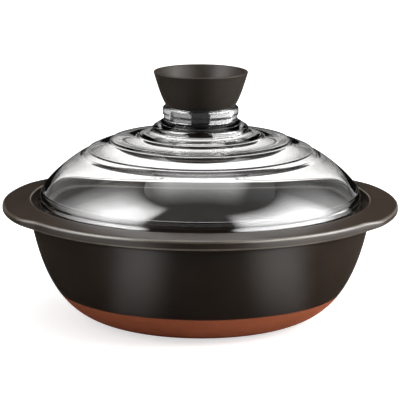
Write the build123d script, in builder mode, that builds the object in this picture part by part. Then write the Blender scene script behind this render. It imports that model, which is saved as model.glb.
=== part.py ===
from build123d import *
import os
from math import cos, radians, sin

# Clay pot with a glass lid, in millimetres. The origin is the centre of the flat base, Z is up,
# and the ears lie along X. Every piece but the ears and the nut is a body of revolution about Z.

# Lid and seat: the lid's skirt stands in a sunk ring at the top of the bowl.
lid_radius = 123.0
seat_gap = 5.4
seat_width = 7.5
seat_depth = 7.4
rim_height = 92.4

# Rim and ears: the rim's underside meets the bowl at the bottom of the ledge that carries the lid.
ledge_thickness = 5.5
rim_width = 17.0
ear_reach = 4.6
rim_fall = 2.9
ear_edge = 5.1
ear_half_angle = 27.5
ear_shoulder_angle = 6.5
ear_corner_radius = 35.0
rim_top_rounding = 2.2
rim_bottom_rounding = 1.6
seat_edge_rounding = 0.8
mouth_rounding = 2.0
seat_corner_rounding = 1.5

# Bowl: the wall is a smooth curve from the flat base to the underside of the rim, and each pull
# says how far the curve runs on straight before it turns.
base_radius = 66.0
bowl_margin = 0.6
base_pull_out = 41.0
base_pull_up = 2.3
wall_pull_in = 7.7
wall_pull_down = 40.3
wall_thickness = 7.0
floor_thickness = 9.5
cove_radius = 5.0

# Glass dome: three shallow steps above one long curve. The step shares are of the lid's radius and
# the dome's height, and the inner shares are of the hollow's radius and height.
dome_height = 58.7
skirt_thickness = 5.0
skirt_height = 6.4
skirt_rounding = 1.3
belt_inset = 1.1
belt_taper = 2.2
belt_rounding = 1.0
step_radius_shares = (0.6886, 0.548, 0.3732)
step_height_shares = (0.765, 0.8927, 0.9625)
step_drop_shares = (0.0596, 0.0324, 0.0341)
step_run_shares = (0.0317, 0.0163, 0.0163)
step_rounding = 1.1
tier_crown = 0.35
dome_pull_out = 4.5
dome_pull_down = 0.5
belt_pull_in = 0.1
belt_pull_up = 10.8
crown_thickness = 9.3
inner_radius_shares = (0.3983, 0.4831, 0.5678, 0.6864, 0.9153, 1.0)
inner_height_shares = (0.9818, 0.9595, 0.9312, 0.8806, 0.6579, 0.2138)
inner_belt_rounding = 6.0

# Glass neck, flared at its foot
foot_reach = 7.5
foot_edge = 3.7
foot_rounding = 2.5
flare_height = 5.2
flare_rounding = 1.2
neck_height = 18.9
lip_radius = 28.6
lip_bead = 0.8
bead_height = 6.6
bead_slope = 0.8
lip_rounding = 1.8
lip_inner_rounding = 0.8
neck_wall = 5.0
bore_length = 15.6
lower_shelf = 4.9
bell_height = 4.6
bell_reach = 9.5

# Knob: a funnel that stands on the lip of the neck, its side a curve that is steeper at the top
knob_setback = 2.2
knob_flare = 9.4
knob_height = 25.1
knob_base_pull_out = 4.3
knob_base_pull_up = 7.0
knob_top_pull_in = 2.6
knob_top_pull_down = 8.0
knob_wall = 3.7
knob_floor = 6.2
knob_floor_inset = 1.8
knob_floor_rounding = 4.0
knob_rim_rounding = 0.6
knob_foot_rounding = 0.6

# Clamp stack in the neck: gaskets, bush, disc, hollow bolt, washer and nut
gasket_thickness = 1.2
gasket_inset = 0.8
disc_clearance = 0.3
bush_clearance = 0.8
disc_thickness = 3.0
disc_rounding = 0.8
bolt_radius = 4.0
vent_radius = 1.9
bolt_head_height = 4.0
bolt_stand_out = 1.5
bolt_tip_chamfer = 0.6
bolt_clearance = 0.2
thread_clearance = 0.05
spanner_size = 13.0
nut_height = 5.0
washer_radius = 8.5
washer_thickness = 1.2

# Radii that follow from the sizes above
seat_radius = lid_radius + seat_gap
mouth_radius = lid_radius - seat_width
rim_radius = seat_radius + rim_width
ear_radius = rim_radius + ear_reach
bowl_radius = seat_radius + bowl_margin
skirt_inner_radius = lid_radius - skirt_thickness
neck_radius = lip_radius - lip_bead
neck_bore = lip_radius - neck_wall
foot_radius = lip_radius + foot_reach
knob_base_radius = lip_radius - knob_setback
knob_top_radius = knob_base_radius + knob_flare
gasket_radius = knob_base_radius - gasket_inset
lower_recess_radius = neck_bore + lower_shelf
bush_radius = neck_bore - bush_clearance
bell_radius = lower_recess_radius + bell_reach
disc_radius = lower_recess_radius - disc_clearance
bolt_hole_radius = bolt_radius + bolt_clearance

# Heights that follow from the sizes above
ledge_height = rim_height - seat_depth
bowl_height = ledge_height - ledge_thickness
ear_top = rim_height - rim_fall
ear_bottom = ear_top - ear_edge
skirt_top = ledge_height + skirt_height
belt_top = skirt_top + belt_taper
dome_top = ledge_height + dome_height
foot_top = dome_top + foot_edge
flare_top = foot_top + flare_height
neck_top = dome_top + neck_height
bead_bottom = neck_top - bead_height
knob_bottom = neck_top + gasket_thickness
knob_top = knob_bottom + knob_height
knob_floor_top = knob_bottom + knob_floor
lower_shelf_height = neck_top - bore_length
bell_bottom = lower_shelf_height - bell_height
disc_top = lower_shelf_height - gasket_thickness
disc_bottom = disc_top - disc_thickness
bolt_bottom = disc_bottom - bolt_head_height
washer_top = knob_floor_top + washer_thickness
nut_top = washer_top + nut_height
bolt_top = nut_top + bolt_stand_out
hollow_height = dome_height - crown_thickness


def on_circle(radius, angle):
    """Point of the plan at this radius and angle, the angle measured from X in degrees."""
    return (radius * cos(radians(angle)), radius * sin(radians(angle)))


def nearest(vertices, *places):
    """The vertex of a section that lies nearest to each of these places."""
    return [vertices.sort_by_distance(place)[0] for place in places]


def ring(inner_radius, outer_radius, bottom, top):
    """Section of a flat ring: a rectangle in the XZ plane."""
    Polygon(
        (inner_radius, bottom),
        (outer_radius, bottom),
        (outer_radius, top),
        (inner_radius, top),
        align=None,
    )


def hexagon_blank(bottom, top):
    """Hexagonal block for the nut and the bolt's head, its corners turned off at both ends."""
    flat_radius = spanner_size / 2
    corner_radius = flat_radius / cos(radians(30))
    corner_cut = (corner_radius - flat_radius) / 2
    with BuildPart() as blank:
        with BuildSketch(Plane.XY.offset(bottom)):
            RegularPolygon(flat_radius, 6, major_radius=False)
        extrude(amount=top - bottom)
        with BuildSketch(Plane.XZ):
            with BuildLine():
                Polyline(
                    (0, bottom),
                    (flat_radius, bottom),
                    (corner_radius, bottom + corner_cut),
                    (corner_radius, top - corner_cut),
                    (flat_radius, top),
                    (0, top),
                    close=True,
                )
            make_face()
        revolve(axis=Axis.Z, mode=Mode.INTERSECT)
    return blank.part


def outer_edges(edges, bottom, top):
    """Curved edges on the outside of the rim and ears whose middle lies between two heights."""
    return edges.filter_by(
        lambda edge: edge.geom_type != GeomType.LINE
        and Vector(edge.center().X, edge.center().Y).length > seat_radius + rim_width / 2
        and bottom < edge.center().Z < top
    )


# Pot body: the section is turned through a full circle out to the ears' reach, then cut to the
# plan of the rim, so the ears are the rim carried further out on the same slope.
with BuildPart() as pot_body:
    with BuildSketch(Plane.XZ) as pot_section:
        with BuildLine():
            Line((0, 0), (base_radius, 0))
            Bezier(
                (base_radius, 0),
                (base_radius + base_pull_out, base_pull_up),
                (bowl_radius - wall_pull_in, bowl_height - wall_pull_down),
                (bowl_radius, bowl_height),
            )
            Polyline(
                (bowl_radius, bowl_height),
                (ear_radius, ear_bottom),
                (ear_radius, ear_top),
                (seat_radius, rim_height),
                (seat_radius, ledge_height),
                (mouth_radius, ledge_height),
                (mouth_radius, bowl_height),
            )
            Bezier(
                (mouth_radius, bowl_height),
                (bowl_radius - wall_pull_in - wall_thickness, bowl_height - wall_pull_down),
                (base_radius + base_pull_out - wall_thickness, floor_thickness + base_pull_up),
                (base_radius - wall_thickness, floor_thickness),
            )
            Polyline((base_radius - wall_thickness, floor_thickness), (0, floor_thickness), (0, 0))
        make_face()
        fillet(nearest(pot_section.vertices(), (bowl_radius, bowl_height)), cove_radius)
        fillet(nearest(pot_section.vertices(), (seat_radius, rim_height)), seat_edge_rounding)
        fillet(nearest(pot_section.vertices(), (seat_radius, ledge_height)), seat_corner_rounding)
        fillet(nearest(pot_section.vertices(), (mouth_radius, ledge_height)), mouth_rounding)
    revolve(axis=Axis.Z)
    with BuildSketch(Plane.XY) as rim_plan:
        Circle(rim_radius)
        for side in (0, 180):
            shoulder = ear_half_angle + ear_shoulder_angle
            with BuildLine():
                ThreePointArc(
                    on_circle(ear_radius, side - ear_half_angle),
                    on_circle(ear_radius, side),
                    on_circle(ear_radius, side + ear_half_angle),
                )
                Polyline(
                    on_circle(ear_radius, side + ear_half_angle),
                    on_circle(rim_radius, side + shoulder),
                    (0, 0),
                    on_circle(rim_radius, side - shoulder),
                    on_circle(ear_radius, side - ear_half_angle),
                )
            make_face()
        fillet(rim_plan.vertices(), ear_corner_radius)
    extrude(amount=rim_height, mode=Mode.INTERSECT)
    edge_middle = (ear_top + ear_bottom) / 2
    fillet(outer_edges(pot_body.edges(), edge_middle, rim_height), rim_top_rounding)
    lower_limit = edge_middle - rim_bottom_rounding
    fillet(outer_edges(pot_body.edges(), bowl_height, lower_limit), rim_bottom_rounding)
pot_body.part.label = "pot_body"

# Glass lid: the outside climbs from the skirt over the long curve and the steps to the neck, and
# the inside comes back down the bore, the shelf for the clamp and the smooth inner curve.
shoulders = [
    (lid_radius * radius_share, ledge_height + dome_height * height_share)
    for radius_share, height_share in zip(step_radius_shares, step_height_shares)
]
feet = [
    (radius + lid_radius * run_share, height - dome_height * drop_share)
    for (radius, height), run_share, drop_share in zip(shoulders, step_run_shares, step_drop_shares)
]
tier_ends = [*feet[1:], (foot_radius, dome_top)]
inner_turns = [
    (skirt_inner_radius * radius_share, ledge_height + hollow_height * height_share)
    for radius_share, height_share in zip(inner_radius_shares, inner_height_shares)
]
belt_radius = lid_radius - belt_inset
with BuildPart() as glass_lid:
    with BuildSketch(Plane.XZ) as lid_section:
        with BuildLine():
            Polyline(
                (skirt_inner_radius, ledge_height),
                (lid_radius, ledge_height),
                (lid_radius, skirt_top),
                (belt_radius, belt_top),
            )
            Bezier(
                (belt_radius, belt_top),
                (belt_radius - belt_pull_in, belt_top + belt_pull_up),
                (feet[0][0] + dome_pull_out, feet[0][1] - dome_pull_down),
                feet[0],
            )
            for foot, shoulder, tier_end in zip(feet, shoulders, tier_ends):
                Line(foot, shoulder)
                SagittaArc(shoulder, tier_end, -tier_crown)
            Polyline(
                (foot_radius, dome_top),
                (foot_radius, foot_top),
                (neck_radius, flare_top),
                (neck_radius, bead_bottom),
                (lip_radius, bead_bottom + bead_slope),
                (lip_radius, neck_top),
                (neck_bore, neck_top),
                (neck_bore, lower_shelf_height),
                (lower_recess_radius, lower_shelf_height),
                (lower_recess_radius, bell_bottom),
                (bell_radius, ledge_height + hollow_height),
            )
            Bezier((bell_radius, ledge_height + hollow_height), *inner_turns[:3])
            Bezier(*inner_turns[2:])
            Line(inner_turns[-1], (skirt_inner_radius, ledge_height))
        make_face()
        corner_roundings = [
            ((lid_radius, ledge_height), skirt_rounding),
            ((skirt_inner_radius, ledge_height), skirt_rounding),
            ((lid_radius, skirt_top), belt_rounding),
            ((foot_radius, foot_top), foot_rounding),
            ((neck_radius, flare_top), flare_rounding),
            ((lip_radius, neck_top), lip_rounding),
            ((neck_bore, neck_top), lip_inner_rounding),
            (inner_turns[-1], inner_belt_rounding),
            *((place, step_rounding) for place in feet + shoulders),
        ]
        for place, rounding in corner_roundings:
            fillet(nearest(lid_section.vertices(), place), rounding)
    revolve(axis=Axis.Z)
glass_lid.part.label = "glass_lid"

# Knob cup: a funnel with a hole for the bolt in its floor
with BuildPart() as knob_cup:
    with BuildSketch(Plane.XZ) as knob_section:
        with BuildLine():
            Polyline(
                (bolt_hole_radius, knob_floor_top),
                (bolt_hole_radius, knob_bottom),
                (knob_base_radius, knob_bottom),
            )
            Bezier(
                (knob_base_radius, knob_bottom),
                (knob_base_radius + knob_base_pull_out, knob_bottom + knob_base_pull_up),
                (knob_top_radius - knob_top_pull_in, knob_top - knob_top_pull_down),
                (knob_top_radius, knob_top),
            )
            Polyline(
                (knob_top_radius, knob_top),
                (knob_top_radius - knob_wall, knob_top),
                (knob_base_radius - knob_floor_inset, knob_floor_top),
                (bolt_hole_radius, knob_floor_top),
            )
        make_face()
        corner_roundings = [
            ((knob_base_radius, knob_bottom), knob_foot_rounding),
            ((knob_top_radius, knob_top), knob_rim_rounding),
            ((knob_top_radius - knob_wall, knob_top), knob_rim_rounding),
            ((knob_base_radius - knob_floor_inset, knob_floor_top), knob_floor_rounding),
        ]
        for place, rounding in corner_roundings:
            fillet(nearest(knob_section.vertices(), place), rounding)
    revolve(axis=Axis.Z)
knob_cup.part.label = "knob_cup"

# Neck bush: the plug that fills the bore of the neck between the knob and the clamp disc
with BuildPart() as neck_bush:
    with BuildSketch(Plane.XZ):
        ring(bolt_hole_radius, bush_radius, disc_top, knob_bottom)
    revolve(axis=Axis.Z)
neck_bush.part.label = "neck_bush"

# Gaskets: one on the lip under the knob, one between the shelf and the clamp disc
with BuildPart() as upper_gasket:
    with BuildSketch(Plane.XZ):
        ring(neck_bore, gasket_radius, neck_top, knob_bottom)
    revolve(axis=Axis.Z)
upper_gasket.part.label = "upper_gasket"

with BuildPart() as lower_gasket:
    with BuildSketch(Plane.XZ):
        ring(neck_bore, disc_radius, disc_top, lower_shelf_height)
    revolve(axis=Axis.Z)
lower_gasket.part.label = "lower_gasket"

# Clamp disc: closes the neck from below, with its lower edge rounded
with BuildPart() as clamp_disc:
    with BuildSketch(Plane.XZ) as disc_section:
        ring(bolt_hole_radius, disc_radius, disc_bottom, disc_top)
        fillet(nearest(disc_section.vertices(), (disc_radius, disc_bottom)), disc_rounding)
    revolve(axis=Axis.Z)
clamp_disc.part.label = "clamp_disc"

# Vent bolt: a hexagon head under the disc, and a hollow shank up into the funnel
bolt_head = hexagon_blank(bolt_bottom, disc_bottom)
with BuildPart() as vent_bolt:
    add(bolt_head)
    with BuildSketch(Plane.XZ) as shank_section:
        ring(vent_radius, bolt_radius, bolt_bottom, bolt_top)
        chamfer(nearest(shank_section.vertices(), (bolt_radius, bolt_top)), bolt_tip_chamfer)
    revolve(axis=Axis.Z)
    with BuildSketch(Plane.XY.offset(bolt_bottom)):
        Circle(vent_radius)
    extrude(amount=bolt_top - bolt_bottom, mode=Mode.SUBTRACT)
vent_bolt.part.label = "vent_bolt"

# Nut washer: spreads the nut's load on the funnel's floor
with BuildPart() as nut_washer:
    with BuildSketch(Plane.XZ):
        ring(bolt_hole_radius, washer_radius, knob_floor_top, washer_top)
    revolve(axis=Axis.Z)
nut_washer.part.label = "nut_washer"

# Vent nut: pulls the whole stack together
nut_blank = hexagon_blank(washer_top, nut_top)
with BuildPart() as vent_nut:
    add(nut_blank)
    with BuildSketch(Plane.XY.offset(washer_top)):
        Circle(bolt_radius + thread_clearance)
    extrude(amount=nut_height, mode=Mode.SUBTRACT)
vent_nut.part.label = "vent_nut"

os.makedirs("parts", exist_ok=True)
pieces = (
    pot_body,
    glass_lid,
    knob_cup,
    neck_bush,
    upper_gasket,
    lower_gasket,
    clamp_disc,
    vent_bolt,
    nut_washer,
    vent_nut,
)
for piece in pieces:
    export_step(piece.part, f"parts/{piece.part.label}.step")
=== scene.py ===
# %% [markdown]
# # A clay pot with a glass lid
# A donabe is a clay casserole: a wide bowl with a flat rim and two broad ears, glazed black above and
# left bare at the foot. This one has a glass lid with three shallow steps, and a black funnel for a
# knob. Nearly everything here is turned on one axis, so most pieces are a profile carried round a
# circle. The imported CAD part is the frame, and the finer pieces take its place.

import bpy
import numpy as np
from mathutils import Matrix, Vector


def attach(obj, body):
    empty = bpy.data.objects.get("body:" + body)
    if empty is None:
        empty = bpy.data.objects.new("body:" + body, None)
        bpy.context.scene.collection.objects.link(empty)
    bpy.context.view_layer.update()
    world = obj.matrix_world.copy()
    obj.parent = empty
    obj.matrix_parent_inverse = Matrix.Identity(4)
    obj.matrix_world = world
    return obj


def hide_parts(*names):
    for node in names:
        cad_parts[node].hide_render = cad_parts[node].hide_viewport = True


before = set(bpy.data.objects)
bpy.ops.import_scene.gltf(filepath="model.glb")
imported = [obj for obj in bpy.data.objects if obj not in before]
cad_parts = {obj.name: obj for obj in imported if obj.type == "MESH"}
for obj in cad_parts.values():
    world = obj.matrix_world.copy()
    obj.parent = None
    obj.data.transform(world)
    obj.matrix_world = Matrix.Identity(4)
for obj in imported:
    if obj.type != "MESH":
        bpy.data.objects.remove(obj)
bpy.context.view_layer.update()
scene = bpy.context.scene
MM = 0.001

# %% [markdown]
# ## Curves for the profiles
# A profile is a row of points (radius, height) in millimetres. Smooth clay and glass are Bezier
# curves, and every corner that a hand could feel is a small arc. Points crowd towards the ends of
# each straight run, so that the shading of an arc doesn't leak into the flat beside it.


# %% Curve helpers
def bezier(start, pull_start, pull_end, end, count):
    """Cubic curve: each point mixes the four given ones with weights (1-t)^3, 3(1-t)^2 t, 3(1-t)t^2, t^3."""
    t = np.linspace(0, 1, count)[:, None]
    a, b, c, d = (np.asarray(p, float) for p in (start, pull_start, pull_end, end))
    return (1 - t) ** 3 * a + 3 * (1 - t) ** 2 * t * b + 3 * (1 - t) * t**2 * c + t**3 * d


def crowned(a, b, crown, count=7):
    """Shallow arc from a to b, raised in the middle by the crown: 4 crown s (1 - s)."""
    s = np.linspace(0, 1, count)[:, None]
    return np.asarray(a) + s * (np.asarray(b) - np.asarray(a)) + [0, 1] * (4 * crown * s * (1 - s))


def straight(a, b, count):
    """Points from a to b whose share of the way is (1 - cos(pi s)) / 2, so they crowd at both ends."""
    share = (1 - np.cos(np.pi * np.linspace(0, 1, count))) / 2
    return a[..., None, :] + share[:, None] * (b - a)[..., None, :]


def corner_arc(before, corner, after, radius, count):
    """Arc that touches both sides of a corner. Its centre lies on the bisector, at the radius over the
    sine of half the angle, and the points turn evenly from one touching point to the other."""
    u = (before - corner) / np.linalg.norm(before - corner, axis=-1, keepdims=True)
    v = (after - corner) / np.linalg.norm(after - corner, axis=-1, keepdims=True)
    half = np.arccos(np.clip((u * v).sum(-1, keepdims=True), -1, 1)) / 2
    bisector = (u + v) / np.linalg.norm(u + v, axis=-1, keepdims=True)
    centre = corner + bisector * radius / np.sin(half)
    first = (corner + u * radius / np.tan(half) - centre)[..., None, :]
    last = (corner + v * radius / np.tan(half) - centre)[..., None, :]
    sweep = (np.pi - 2 * half)[..., None, :]
    s = np.linspace(0, 1, count)[:, None]
    return centre[..., None, :] + (np.sin((1 - s) * sweep) * first + np.sin(s * sweep) * last) / np.sin(sweep)


def section(*parts, flat=5, arc=6):
    """Joins curves and corners into one profile. A curve is an array of points, and a corner is a
    point with its rounding. The runs between them are straight."""
    marks = []
    for part in parts:
        marks += [part] if isinstance(part, tuple) else [(point, 0) for point in part]
    spots = np.broadcast_arrays(*(np.asarray(point, float) for point, rounding in marks))
    pieces, here, dense = [], spots[0], True
    for i in range(1, len(marks) - 1):
        rounding = marks[i][1]
        if rounding:
            bend = corner_arc(spots[i - 1], spots[i], spots[i + 1], rounding, arc)
            pieces += [straight(here, bend[..., 0, :], flat)[..., :-1, :], bend[..., :-1, :]]
            here = bend[..., -1, :]
        else:
            pieces.append(here[..., None, :] if dense else straight(here, spots[i], flat)[..., :-1, :])
            here = spots[i]
        dense = not rounding
    pieces.append(straight(here, spots[-1], 2 if dense else flat))
    return np.concatenate(pieces, axis=-2)


# %% [markdown]
# ## From profile to surface
# Carrying a profile round the axis gives a grid: one way runs along the profile and the other round
# the circle. The point at an angle is (radius cos angle, radius sin angle, height). A profile that
# starts and ends near the axis closes with a fan of triangles at each pole, and one that is a loop
# closes on itself like a ring.


# %% Surface helpers
def put_mesh(name, points, quads, triangles):
    """One smooth mesh object at the origin, its points given in millimetres."""
    corners = np.concatenate([quads.ravel(), triangles.ravel()])
    starts = np.concatenate([np.arange(len(quads)) * 4, 4 * len(quads) + np.arange(len(triangles)) * 3])
    mesh = bpy.data.meshes.new(name)
    mesh.vertices.add(len(points))
    mesh.vertices.foreach_set("co", (points * MM).astype(np.float32).ravel())
    mesh.loops.add(len(corners))
    mesh.loops.foreach_set("vertex_index", corners.astype(np.int32))
    mesh.polygons.add(len(starts))
    mesh.polygons.foreach_set("loop_start", starts.astype(np.int32))
    mesh.update(calc_edges=True)
    mesh.polygons.foreach_set("use_smooth", np.ones(len(starts), bool))
    mesh.validate()
    piece = bpy.data.objects.new(name, mesh)
    scene.collection.objects.link(piece)
    print(f"{name}: {len(points)} points, {2 * len(quads) + len(triangles)} triangles")
    return piece


def turned(name, profile, turns, loop=True):
    """Turns a profile about the axis. It is (rows, 2), or (turns, rows, 2) where it changes with the
    angle, and it runs anticlockwise in the plane of radius and height, so faces point outwards."""
    angle = np.linspace(0, 2 * np.pi, turns, endpoint=False)[:, None]
    radius, height = np.moveaxis(np.broadcast_to(profile, (turns, *profile.shape[-2:])), -1, 0)
    points = np.stack([radius * np.cos(angle), radius * np.sin(angle), height], -1).reshape(-1, 3)
    number = np.arange(radius.size).reshape(radius.shape)
    beside = np.roll(number, -1, 0)
    if loop:
        quads = np.stack([number, beside, np.roll(beside, -1, 1), np.roll(number, -1, 1)], -1)
        return put_mesh(name, points, quads.reshape(-1, 4), np.zeros((0, 3), int))
    quads = np.stack([number[:, :-1], beside[:, :-1], beside[:, 1:], number[:, 1:]], -1)
    first_pole = np.full(turns, len(points))
    fans = [[first_pole, beside[:, 0], number[:, 0]], [first_pole + 1, number[:, -1], beside[:, -1]]]
    poles = [[0, 0, height[0, 0]], [0, 0, height[0, -1]]]
    triangles = np.concatenate([np.stack(fan, -1) for fan in fans])
    return put_mesh(name, np.concatenate([points, poles]), quads.reshape(-1, 4), triangles)


def point_value(piece, name, values):
    """Stores one number for each point of the mesh, for its material to read."""
    padded = np.zeros(len(piece.data.vertices), np.float32)
    padded[: values.size] = values.ravel()
    piece.data.attributes.new(name, "FLOAT", "POINT").data.foreach_set("value", padded)


# %% [markdown]
# ## The pot
# The real pot is pressed or thrown, so it is round, except that the rim runs out a little further at
# the two ears. The plan of the rim is a radius that depends on the angle: it rises from rim to ear
# with a smooth step. The section is the same everywhere but for that radius, because the ears keep
# the slope of the rim.

# %% Pot: plan of the rim
POT_TURNS = 480
RIM_RADIUS, EAR_REACH = 145.37, 4.6
EAR_HALF_ANGLE, EAR_BLEND_ANGLE = 25.6, 10.3
bearing = np.linspace(0, 360, POT_TURNS, endpoint=False) % 180
step = np.clip((np.minimum(bearing, 180 - bearing) - EAR_HALF_ANGLE) / EAR_BLEND_ANGLE, 0, 1)
edge_radius = RIM_RADIUS + EAR_REACH * (1 - step**2 * (3 - 2 * step))
print("the rim's radius runs from", edge_radius.min(), "to", edge_radius.max())

# %% Pot: section and mesh
POLE = 0.5
FLOOR_TOP = 9.5
base_edge, under_rim, floor_edge = (66, 0), (129, 79.5), (59, FLOOR_TOP)
seat_top, seat_foot, mouth = (128.4, 92.4), (128.4, 85.0), (115.5, 85.0)
slope_above, slope_below = 2.9 / 21.6, 4.9 / 21.0
edge_top = np.stack([edge_radius, seat_top[1] - slope_above * (edge_radius - seat_top[0])], -1)
edge_bottom = np.stack([edge_radius, under_rim[1] + slope_below * (edge_radius - under_rim[0])], -1)
pot_section = section(
    np.linspace([POLE, 0], base_edge, 6)[:-1],
    bezier(base_edge, (107, 2.3), (121.3, 39.2), under_rim, 56)[:-5],
    (under_rim, 5.0),
    (edge_bottom, 1.6),
    (edge_top, 2.2),
    (seat_top, 0.8),
    (seat_foot, 1.5),
    (mouth, 2.0),
    bezier((115.5, 79.5), (114.3, 39.2), (100, 11.8), floor_edge, 40),
    np.linspace(floor_edge, [POLE, FLOOR_TOP], 6)[1:],
)
pot = turned("fired_pot", pot_section, POT_TURNS, loop=False)

# %% [markdown]
# Glaze runs off sharp edges while it melts and leaves them thin and brown; their pale colour here is
# also a painted highlight, for the bright lines that light draws along those edges. How sharply the
# profile turns outwards says where: the turn between two steps over the length of a step. A second
# value tells the outside of the pot from the inside, because only the outside has a bare foot.

# %% Pot: where the glaze is thin and the edges take a painted highlight
along = np.diff(pot_section, axis=1)
heading = np.unwrap(np.arctan2(along[..., 1], along[..., 0]), axis=1)
length = np.linalg.norm(along, axis=-1)
sharpness = np.zeros(pot_section.shape[:2])
sharpness[:, 1:-1] = np.diff(heading, axis=1) / (0.5 * (length[:, 1:] + length[:, :-1]))
SHARPEST = 1.3
point_value(pot, "sharpness", np.clip(sharpness, 0, SHARPEST))
rows = np.arange(pot_section.shape[1])
outside = rows < pot_section[..., 1].argmax(axis=1)[:, None]
point_value(pot, "outside", outside.astype(float))
print("sharpest outward turn per mm:", round(float(sharpness.max()), 2))

# %% [markdown]
# ## The glass lid
# The lid is pressed glass. Its section is a loop: up the outside over a long curve and three steps
# to a short tube, then down the bore and back along the inner side. The inner side repeats the
# steps, so the wall is even and each step shows as two thin lines. A smooth inner side would turn
# the steps into wedges, which look like black bands. Feet are soft and shoulders are tighter.

# %% Lid: section and mesh
foot_a, foot_b, foot_c, neck_foot = (88.6, 126.4), (69.4, 135.5), (47.9, 139.5), (36.1, 143.7)
shoulder_a, shoulder_b, shoulder_c = (84.7, 129.9), (67.4, 137.4), (45.9, 141.5)
inner_foot_a, inner_foot_b, inner_foot_c = (87.0, 124.3), (68.4, 133.0), (46.9, 137.0)
inner_shoulder_a, inner_shoulder_b, inner_shoulder_c = (83.4, 127.5), (66.4, 134.9), (44.9, 139.0)
SKIRT_INSIDE, SKIRT_OUTSIDE, SKIRT_FOOT, INSIDE_TOP = 118, 123, 85, 95.56
LIP_RADIUS, LIP_TOP, NECK_RADIUS = 28.6, 162.6, 27.8
BORE, RECESS, SHELF, RECESS_FOOT = 23.6, 28.5, 147.0, 142.4
inner_side = bezier((67.0, 131.0), (81.0, 128.5), (108.0, 117.5), (SKIRT_INSIDE, INSIDE_TOP), 60)
lid_section = section(
    np.array([[SKIRT_INSIDE, 91.0], [SKIRT_INSIDE, 89.0]]),
    ((SKIRT_INSIDE, SKIRT_FOOT), 1.3),
    ((SKIRT_OUTSIDE, SKIRT_FOOT), 1.3),
    ((SKIRT_OUTSIDE, 91.4), 1.0),
    bezier((121.9, 93.6), (121.8, 104.4), (93.1, 125.9), foot_a, 44)[:-6],
    (foot_a, 4.5),
    (shoulder_a, 1.1),
    crowned(shoulder_a, foot_b, 0.35)[1:-1],
    (foot_b, 3.0),
    (shoulder_b, 1.1),
    crowned(shoulder_b, foot_c, 0.35)[1:-1],
    (foot_c, 3.0),
    (shoulder_c, 1.1),
    crowned(shoulder_c, neck_foot, 0.35, 5)[1:-1],
    (neck_foot, 0.4),
    ((36.1, 147.4), 2.5),
    ((NECK_RADIUS, 152.6), 1.2),
    ((NECK_RADIUS, 156.0), 0.8),
    ((LIP_RADIUS, 156.8), 0.8),
    ((LIP_RADIUS, LIP_TOP), 1.8),
    ((BORE, LIP_TOP), 0.8),
    ((BORE, SHELF), 0.3),
    ((RECESS, SHELF), 0.3),
    ((RECESS, RECESS_FOOT), 0.6),
    (inner_shoulder_c, 2.5),
    (inner_foot_c, 3.0),
    (inner_shoulder_b, 2.5),
    (inner_foot_b, 3.0),
    (inner_shoulder_a, 3.0),
    (inner_foot_a, 2.0),
    inner_side[inner_side[:, 0] > foot_a[0]][:-1],
    ((SKIRT_INSIDE, INSIDE_TOP), 6.0),
    np.array([[SKIRT_INSIDE, 91.0]]),
    flat=4,
)[:-1]
lid = turned("lid_glass", lid_section, 288)

# %% [markdown]
# ## The knob and the stack that holds it
# The knob is a funnel of matt plastic. A hollow bolt runs up from a disc under the glass, through a
# black plug in the neck, to a nut on the funnel's floor, and the steam leaves through it. A thin
# ring keeps the funnel off the glass. The glass shows the plug and the disc, so they are as fine
# as the rest. The bolt, its nut and the washer stay as the CAD made them.

# %% Knob, plug, rings and disc
BOLT_HOLE = 4.2
KNOB_FOOT, KNOB_FLOOR, KNOB_TOP = 163.8, 170.0, 188.9
DISC_FOOT, DISC_TOP, DISC_RADIUS = 142.8, 145.8, 28.2
knob_base, knob_rim = (26.4, KNOB_FOOT), (35.8, KNOB_TOP)
hole_middle = np.array([[BOLT_HOLE, 166.0]])
knob_section = section(
    hole_middle,
    ((BOLT_HOLE, KNOB_FOOT), 0.3),
    (knob_base, 0.6),
    bezier(knob_base, (30.7, 170.8), (33.2, 180.9), knob_rim, 30)[2:-2],
    (knob_rim, 0.6),
    ((33.3, KNOB_TOP), 0.6),
    ((24.6, KNOB_FLOOR), 4.0),
    ((BOLT_HOLE, KNOB_FLOOR), 0.3),
    hole_middle,
)[:-1]
knob = turned("funnel_knob", knob_section, 240)


def ring(name, inner, outer, bottom, top, rounding):
    """A flat ring: a rectangle with rounded corners, turned about the axis."""
    middle = np.array([[inner, (bottom + top) / 2]])
    corners = [(inner, bottom), (outer, bottom), (outer, top), (inner, top)]
    return turned(name, section(middle, *((c, rounding) for c in corners), middle)[:-1], 192)


plug = ring("neck_plug", BOLT_HOLE, 22.8, DISC_TOP, KNOB_FOOT, 0.4)
lip_ring = ring("lip_gasket", BORE, 25.6, LIP_TOP, KNOB_FOOT, 0.35)
shelf_ring = ring("shelf_gasket", BORE, DISC_RADIUS, DISC_TOP, SHELF, 0.35)
disc = ring("clamp_plate", BOLT_HOLE, DISC_RADIUS, DISC_FOOT, DISC_TOP, 0.7)

# %% [markdown]
# Each piece rides on the body of the CAD node that it stands for, so the lid and all that is
# clamped to it lift together.

# %% Tie the pieces to the frame
for piece, body, node_name in (
    (pot, "pot", "pot_body"),
    (lid, "lid", "glass_lid"),
    (knob, "lid", "knob_cup"),
    (plug, "lid", "neck_bush"),
    (lip_ring, "lid", "upper_gasket"),
    (shelf_ring, "lid", "lower_gasket"),
    (disc, "lid", "clamp_disc"),
):
    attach(piece, body)
    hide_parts(node_name)
print("shown CAD nodes:", sorted(o.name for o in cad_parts.values() if not o.hide_render))

# %% [markdown]
# ## Finishes
# A finish is a small tree of nodes. Every pattern reads the Object coordinates, which are the
# piece's own metres, so it stays put from every side.


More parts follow.
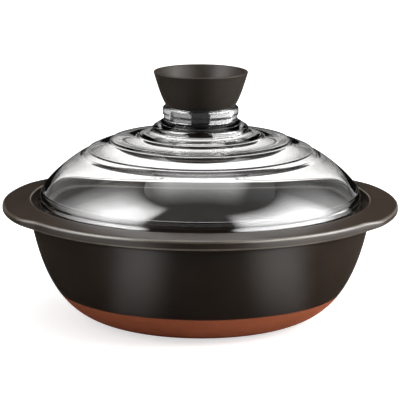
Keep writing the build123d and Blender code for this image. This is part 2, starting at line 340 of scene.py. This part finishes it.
# %% Node helpers
def node(tree, kind, inputs, **settings):
    """Adds one node, sets its settings, and links or fills its inputs."""
    made = tree.nodes.new("ShaderNode" + kind)
    for name, value in settings.items():
        setattr(made, name, value)
    for name, value in inputs.items():
        if isinstance(value, bpy.types.NodeSocket):
            tree.links.new(value, made.inputs[name])
        else:
            made.inputs[name].default_value = value
    return made


def noise(tree, vector, scale, detail=2.0, low=0.0, high=1.0):
    """Soft random value of the place, spread from low to high."""
    made = node(tree, "TexNoise", {"Vector": vector, "Scale": scale, "Detail": detail})
    return ramp(tree, made.outputs["Fac"], 0.2, 0.8, low, high)


def ramp(tree, value, from_low, from_high, low=0.0, high=1.0):
    """Straight-line map of a value from one range to another, held at the ends."""
    spans = {"From Min": from_low, "From Max": from_high, "To Min": low, "To Max": high}
    return node(tree, "MapRange", {"Value": value, **spans}).outputs["Result"]


def blend(tree, share, a, b):
    """Mixes two colours."""
    made = node(tree, "Mix", {0: share, 6: a, 7: b}, data_type="RGBA")
    return made.outputs[2]


def maths(tree, kind, a, b):
    """One sum, product or comparison of two values."""
    return node(tree, "Math", {0: a, 1: b}, operation=kind).outputs[0]


def stretched(tree, vector, scale):
    """The coordinates scaled differently along X, Y and Z, for rings and streaks."""
    return node(tree, "Mapping", {"Vector": vector, "Scale": scale}).outputs["Vector"]


def raised(tree, shader, height, distance):
    """Bumps the surface by a height between 0 and 1 times a distance in metres."""
    bump = node(tree, "Bump", {"Height": height, "Distance": distance, "Strength": 1.0})
    tree.links.new(bump.outputs["Normal"], shader.inputs["Normal"])


def finish(name, **sockets):
    """A new material, its tree, its shader and the Object coordinates."""
    material = bpy.data.materials.new(name)
    material.use_nodes = True
    tree = material.node_tree
    shader = tree.nodes["Principled BSDF"]
    for socket, value in sockets.items():
        shader.inputs[socket.replace("_", " ")].default_value = value
    return material, tree, shader, node(tree, "TexCoord", {}).outputs["Object"]


def wear(material, *pieces):
    """Puts a material on pieces, in place of what they had."""
    for piece in pieces:
        piece.data.materials.clear()
        piece.data.materials.append(material)
    print(f"{material.name}: {len(material.node_tree.nodes)} nodes, on", *(p.name for p in pieces))


# %% [markdown]
# ## Black glaze over red clay
# The pot is dipped upside down in glaze, which stops in a soft line above the foot. The glaze is
# nearly black with a brown cast, satin rather than mirror-bright, and faint turning rings show in
# it. On the edges it is thin and brown, and a pale painted highlight runs along them. The clay below
# is red-brown, dry and a little gritty.

# %% Finish: pot
GLAZE_LINE, GLAZE_LINE_TOP = 0.0230, 0.0237
fired, tree, shader, place = finish("fired_clay", IOR=1.5, Specular_IOR_Level=0.3)
parts = node(tree, "SeparateXYZ", {"Vector": place})
line = maths(tree, "ADD", parts.outputs["Z"], noise(tree, place, 16, 2, -0.0003, 0.0003))
covered = ramp(tree, line, GLAZE_LINE, GLAZE_LINE_TOP)
outer = node(tree, "Attribute", {}, attribute_name="outside").outputs["Fac"]
bare = maths(tree, "MULTIPLY", outer, maths(tree, "SUBTRACT", 1.0, covered))
thin_glaze_and_edge_highlight = node(tree, "Attribute", {}, attribute_name="sharpness").outputs["Fac"]
thin_glaze_and_edge_highlight = maths(tree, "MULTIPLY", ramp(tree, thin_glaze_and_edge_highlight, 0.25, 1.2), noise(tree, place, 120, 3, 0.55, 1.0))
black_glaze, brown_glaze = (0.0108, 0.0074, 0.0052, 1), (0.0165, 0.0113, 0.0081, 1)
red_clay, pale_clay, dark_grain = (0.205, 0.055, 0.024, 1), (0.285, 0.080, 0.036, 1), (0.11, 0.04, 0.022, 1)
glaze = blend(tree, noise(tree, place, 34, 4), black_glaze, brown_glaze)
# Painted highlight, partly real thin glaze: sharp outward edges take a pale colour that stands in for the
# bright lines of light along them.
glaze = blend(tree, thin_glaze_and_edge_highlight, glaze, (0.310, 0.265, 0.215, 1))
clay = blend(tree, noise(tree, place, 26, 4), red_clay, pale_clay)
clay = blend(tree, noise(tree, place, 900, 1, 0.0, 0.35), clay, dark_grain)
tree.links.new(blend(tree, bare, glaze, clay), shader.inputs["Base Color"])
satin = noise(tree, place, 60, 3, 0.28, 0.34)
rough = node(tree, "Mix", {0: bare, 2: satin, 3: 0.92}, data_type="FLOAT").outputs[0]
tree.links.new(rough, shader.inputs["Roughness"])
dry = ramp(tree, bare, 0, 1, 0.3, 0.05)
tree.links.new(dry, shader.inputs["Specular IOR Level"])
rings = noise(tree, stretched(tree, place, (5, 5, 210)), 1.0, 2, 0.0, 0.55)
grit = maths(tree, "MULTIPLY", bare, noise(tree, place, 1300, 1, 0.0, 0.45))
height = maths(tree, "ADD", maths(tree, "ADD", rings, grit), maths(tree, "MULTIPLY", covered, 0.5))
raised(tree, shader, height, 0.00015)
wear(fired, pot)

# %% [markdown]
# ## Clear pressed glass
# Glass is all transmission and reflection, so its own colour hardly shows. Pressed glass is never
# quite flat: a slow ripple bends what is seen through it. Where the eye looks along the wall, a
# painted shade darkens the glass's colour towards its outline, for the dark edges that glass shows
# on white. Light that only casts a shadow may pass straight through, because tracing it through two
# curved faces would be slow and noisy.

# %% Finish: glass
clear, tree, shader, place = finish("clear_glass", Transmission_Weight=1.0, IOR=1.49)
grazing = node(tree, "LayerWeight", {"Blend": 0.5}).outputs["Facing"]
# Painted shade: the colour turns dark grey at grazing angles, darkening the glass towards its outline.
tint_and_painted_edge_shade = blend(tree, ramp(tree, grazing, 0.76, 0.93), (0.975, 0.97, 0.965, 1), (0.62, 0.6, 0.58, 1))
tree.links.new(tint_and_painted_edge_shade, shader.inputs["Base Color"])
tree.links.new(noise(tree, place, 70, 2, 0.0, 0.012), shader.inputs["Roughness"])
raised(tree, shader, noise(tree, stretched(tree, place, (1, 1, 2)), 18, 1), 0.00012)
straight_through = node(tree, "BsdfTransparent", {"Color": (0.86, 0.88, 0.87, 1)})
ray = node(tree, "LightPath", {}).outputs["Is Shadow Ray"]
mixed = node(tree, "MixShader", {0: ray, 1: shader.outputs[0], 2: straight_through.outputs[0]})
tree.links.new(mixed.outputs[0], tree.nodes["Material Output"].inputs["Surface"])
wear(clear, lid)

# %% [markdown]
# ## Plastic, rubber and steel
# The funnel is matt moulded plastic with a fine grain. The plug and the two thin rings are black
# rubber, and the bolt, nut and washer are turned steel with rings about their axis.

# %% Finishes: knob stack
matt, tree, shader, place = finish("matt_plastic", Specular_IOR_Level=0.12)
shade = blend(tree, noise(tree, place, 45, 3), (0.0092, 0.0068, 0.0050, 1), (0.0126, 0.0095, 0.0071, 1))
tree.links.new(shade, shader.inputs["Base Color"])
tree.links.new(noise(tree, place, 80, 2, 0.42, 0.52), shader.inputs["Roughness"])
raised(tree, shader, noise(tree, place, 2600, 1), 0.00003)
wear(matt, knob, disc)

soft, tree, shader, place = finish("black_rubber", Specular_IOR_Level=0.05)
shade = blend(tree, noise(tree, place, 90, 3), (0.009, 0.009, 0.009, 1), (0.016, 0.0155, 0.015, 1))
tree.links.new(shade, shader.inputs["Base Color"])
tree.links.new(noise(tree, place, 140, 2, 0.5, 0.62), shader.inputs["Roughness"])
raised(tree, shader, noise(tree, stretched(tree, place, (1, 1, 6)), 400, 1), 0.00004)
wear(soft, plug, lip_ring, shelf_ring)

steel, tree, shader, place = finish("turned_steel", Metallic=1.0)
parts = node(tree, "SeparateXYZ", {"Vector": place})
flat_place = node(tree, "CombineXYZ", {"X": parts.outputs["X"], "Y": parts.outputs["Y"]}).outputs[0]
from_axis = node(tree, "VectorMath", {0: flat_place}, operation="LENGTH").outputs["Value"]
tracks = node(tree, "CombineXYZ", {"X": from_axis, "Z": parts.outputs["Z"]}).outputs[0]
lines = noise(tree, tracks, 3200, 1)
tree.links.new(blend(tree, lines, (0.48, 0.48, 0.47, 1), (0.66, 0.66, 0.65, 1)), shader.inputs["Base Color"])
tree.links.new(noise(tree, tracks, 2100, 1, 0.22, 0.4), shader.inputs["Roughness"])
raised(tree, shader, lines, 0.00002)
wear(steel, *(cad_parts[name] for name in ("vent_bolt", "nut_washer", "vent_nut")))

# %% [markdown]
# ## Floor, room and lamps
# The photograph is a cut-out on white. A pale floor runs out of view on all sides, and its own faint
# glow, seen only by the camera and through glass, brings it to white without putting more light on
# the pot. The room is white to the camera and dim to gloss, as a studio is.


# %% Floor and room
def mirrored(tree):
    """1 for rays that a surface has mirrored on their way, inside the glass or outside it."""
    return maths(tree, "MINIMUM", node(tree, "LightPath", {}).outputs["Glossy Depth"], 1.0)


def seen_in_gloss(tree):
    """1 for rays that come straight from a mirroring surface."""
    ray = node(tree, "LightPath", {}).outputs
    return maths(tree, "GREATER_THAN", ray["Is Glossy Ray"], ray["Is Transmission Ray"])


def seen_directly(tree):
    """1 for rays from the camera and through glass, and 0 for gloss and for light on matt surfaces."""
    ray = node(tree, "LightPath", {}).outputs
    clear = maths(tree, "MAXIMUM", ray["Is Camera Ray"], ray["Is Transmission Ray"])
    scattered = maths(tree, "ADD", ray["Diffuse Depth"], ray["Glossy Depth"])
    return maths(tree, "GREATER_THAN", clear, scattered)


FLOOR_REACH = 20000.0
corners = np.array([[-1, -1, 0], [1, -1, 0], [1, 1, 0], [-1, 1, 0]]) * FLOOR_REACH
floor = put_mesh("pale_floor", corners, np.array([[0, 1, 2, 3]]), np.zeros((0, 3), int))
pale, tree, shader, place = finish("pale_paper", Specular_IOR_Level=0.0, Roughness=1.0)
shade = blend(tree, noise(tree, place, 400, 2), (0.80, 0.80, 0.80, 1), (0.84, 0.84, 0.84, 1))
tree.links.new(shade, shader.inputs["Base Color"])
shader.inputs["Emission Color"].default_value = (1, 1, 1, 1)
pale.cycles.emission_sampling = "NONE"
from_pot = node(tree, "VectorMath", {0: place}, operation="LENGTH").outputs["Value"]
glow = maths(tree, "MULTIPLY", seen_directly(tree), ramp(tree, from_pot, 0.1, 0.3, 0.6, 1.0))
tree.links.new(glow, shader.inputs["Emission Strength"])
# Painted reflection: to glossy rays the floor is near-black, so glaze and glass show a dark floor in their
# reflections.
painted_dark_reflection = node(tree, "BsdfDiffuse", {"Color": (0.02, 0.02, 0.02, 1)})
mixed = node(tree, "MixShader", {0: seen_in_gloss(tree), 1: shader.outputs[0], 2: painted_dark_reflection.outputs[0]})
tree.links.new(mixed.outputs[0], tree.nodes["Material Output"].inputs["Surface"])
wear(pale, floor)

room = bpy.data.worlds.new("white_room")
scene.world = room
room.use_nodes = True
tree = room.node_tree
ON_MATT, IN_GLOSS, INSIDE_GLASS = 0.4, 0.01, 0.65
matt_or_gloss = ramp(tree, seen_in_gloss(tree), 0, 1, ON_MATT, IN_GLOSS)
through = node(tree, "LightPath", {}).outputs["Is Transmission Ray"]
inside = maths(tree, "MULTIPLY", maths(tree, "MULTIPLY", mirrored(tree), through), INSIDE_GLASS)
matt_or_gloss = maths(tree, "MAXIMUM", matt_or_gloss, inside)
strength = maths(tree, "MAXIMUM", seen_directly(tree), matt_or_gloss)
tree.links.new(strength, tree.nodes["Background"].inputs["Strength"])
tree.nodes["Background"].inputs["Color"].default_value = (1, 1, 1, 1)


# %% Lamps
def aim(thing, position, target):
    """Puts a thing at a place and points its -Z side at the target."""
    thing.location = position
    thing.rotation_euler = (Vector(target) - Vector(position)).to_track_quat("-Z", "Y").to_euler()


def soft_lamp(name, position, width, height, watts, target=(0, 0, 0.08)):
    """A rectangular soft box."""
    lamp = bpy.data.lights.new(name, "AREA")
    lamp.shape, lamp.size, lamp.size_y, lamp.energy = "RECTANGLE", width, height, watts
    holder = bpy.data.objects.new(name, lamp)
    holder.visible_glossy = holder.visible_transmission = False
    scene.collection.objects.link(holder)
    aim(holder, position, target)
    print(f"{name}: {watts} W, {width} by {height} m")


def round_pot(azimuth, away, height):
    """A place on a circle about the pot. The azimuth is counted from the camera's side to the right."""
    turn = np.radians(azimuth)
    return (away * np.sin(turn), -away * np.cos(turn), height)


soft_lamp("left_lamp", round_pot(-52, 1.1, 0.6), 0.55, 0.9, 4.5)
soft_lamp("right_lamp", round_pot(75, 1.1, 0.4), 0.55, 0.9, 17.0)
soft_lamp("top_lamp", (0, 0.05, 1.45), 1.3, 1.3, 7.0)

# %% [markdown]
# Glass and glaze show lamps as mirrors do. Tall curved reflectors that only glossy surfaces see stand
# left and right of the camera. They give the patches on the dome, the bars on the neck and the soft
# lights on the bowl, with a dark gap between them. One behind brightens the flat steps and the rim,
# and one overhead gives the pale fall of light down the middle of the dome.


# %% Reflector cards
def card_of_light(name, points, glow):
    """A grid of points (rows, columns, 3) in metres that only glossy rays see, with a glow at each."""
    number = np.arange(glow.size).reshape(glow.shape)
    quads = np.stack([number[:-1, :-1], number[1:, :-1], number[1:, 1:], number[:-1, 1:]], -1)
    card = put_mesh(name, points.reshape(-1, 3) / MM, quads.reshape(-1, 4), np.zeros((0, 3), int))
    point_value(card, "glow", glow)
    material = bpy.data.materials.new(name)
    material.use_nodes = True
    material.cycles.emission_sampling = "NONE"
    tree = material.node_tree
    level = node(tree, "Attribute", {}, attribute_name="glow").outputs["Fac"]
    glowing = node(tree, "Emission", {"Strength": level})
    tree.links.new(glowing.outputs[0], tree.nodes["Material Output"].inputs["Surface"])
    wear(material, card)
    card.visible_camera = card.visible_diffuse = card.visible_transmission = False
    card.visible_shadow = card.visible_volume_scatter = False


def reflector(name, azimuths, levels, low, high, rise):
    """A card bent round the pot. It spans from one edge to the other, each given as (distance from
    the axis, height) in metres. Its glow is the level at the azimuth times the share of the rise."""
    turn, share = np.meshgrid(np.linspace(azimuths[0], azimuths[-1], 49), np.linspace(0, 1, 21), indexing="ij")
    away, height = (low[i] + (high[i] - low[i]) * share for i in (0, 1))
    glow = np.interp(turn, azimuths, levels) * np.interp(share, np.linspace(0, 1, len(rise)), rise)
    card_of_light(name, np.stack(round_pot(turn, away, height), -1), glow)


FLAT = (0.0, 1.0, 1.0, 1.0, 0.0)
LEFT, LEFT_LEVELS, LEFT_RISE = (-120, -105, -66, -44, -36), (0, 4, 28, 21, 0), (0.35, 0.6, 1, 0.75, 0)
RIGHT, RIGHT_LEVELS, RIGHT_RISE = (22, 32, 74, 90, 106, 128), (0, 19, 30, 24, 5, 0), (0.6, 0.85, 1, 0.5, 0)
BACK, BACK_LEVELS, BACK_RISE = (150, 166, 180, 194, 210), (0, 4, 5, 4, 0), (0, 0.7, 1, 1, 0)
reflector("left_card", LEFT, LEFT_LEVELS, (0.9, 0.12), (0.45, 1.1), LEFT_RISE)
reflector("right_card", RIGHT, RIGHT_LEVELS, (0.9, 0.12), (0.55, 0.95), RIGHT_RISE)
reflector("left_low_card", (-96, -84, -32, -26), (0, 5, 7, 0), (0.65, 0.0), (0.65, 0.12), FLAT)
reflector("right_low_card", (26, 32, 105, 120), (0, 14, 14, 0), (0.65, 0.0), (0.65, 0.12), FLAT)
reflector("left_bounce", (-48, -36, -26, -14), (0, 2.4, 2.4, 0), (0.1, 0.002), (0.5, 0.002), FLAT)
reflector("right_bounce", (22, 36, 48, 62), (0, 2.6, 2.6, 0), (0.1, 0.002), (0.5, 0.002), FLAT)
reflector("back_card", BACK, BACK_LEVELS, (1.25, 1.2), (1.25, 2.1), BACK_RISE)
x, y = np.meshgrid(np.linspace(-1.7, 1.7, 69), np.linspace(-0.42, 1.1, 39), indexing="ij")
down_dome = np.interp(y, (-0.42, -0.25, -0.12, 0, 0.27, 0.9, 1.1), (0, 1.5, 3.0, 5.2, 8.0, 4.0, 0))
across = np.interp(x, (-1.7, -1.4, -0.6, -0.38, 0.38, 0.6, 1.4, 1.7), (0, 0.3, 0.3, 1, 1, 0.12, 0.12, 0))
TOP_HEIGHT = 1.7
card_of_light("top_card", np.stack([x, y, np.full(x.shape, TOP_HEIGHT)], -1), down_dome * across)

# %% [markdown]
# ## The camera
# The photograph was taken from far off with a long lens, a little above the rim. The rings of the
# rim, the seat and the steps fix the view: 11.6 degrees down, at 1.9 m, with the whole pot in frame.

# %% Camera
camera = bpy.data.objects.new("camera", bpy.data.cameras.new("camera"))
scene.collection.objects.link(camera)
scene.camera = camera
IMAGE_WIDTH = 400
RIM_HEIGHT = 0.0924
down, away, turn = np.radians(11.61), 1.899, np.radians(0.286)
camera.data.lens, camera.data.sensor_width = 225.0, 36.0
camera.data.clip_start, camera.data.clip_end = 0.05, 100.0
camera.location = (0, -away * np.cos(down), RIM_HEIGHT + away * np.sin(down))
camera.rotation_euler = (np.pi / 2 - down, 0, 0)
camera.rotation_euler.rotate_axis("Z", turn)
camera.data.shift_x, camera.data.shift_y = -0.23 / IMAGE_WIDTH, -3.25 / IMAGE_WIDTH
scene.view_settings.view_transform = "Standard"
print("camera at", np.round(camera.location, 3).tolist())

# %% [markdown]
# ## Finish

# %% Update the scene
bpy.context.view_layer.update()
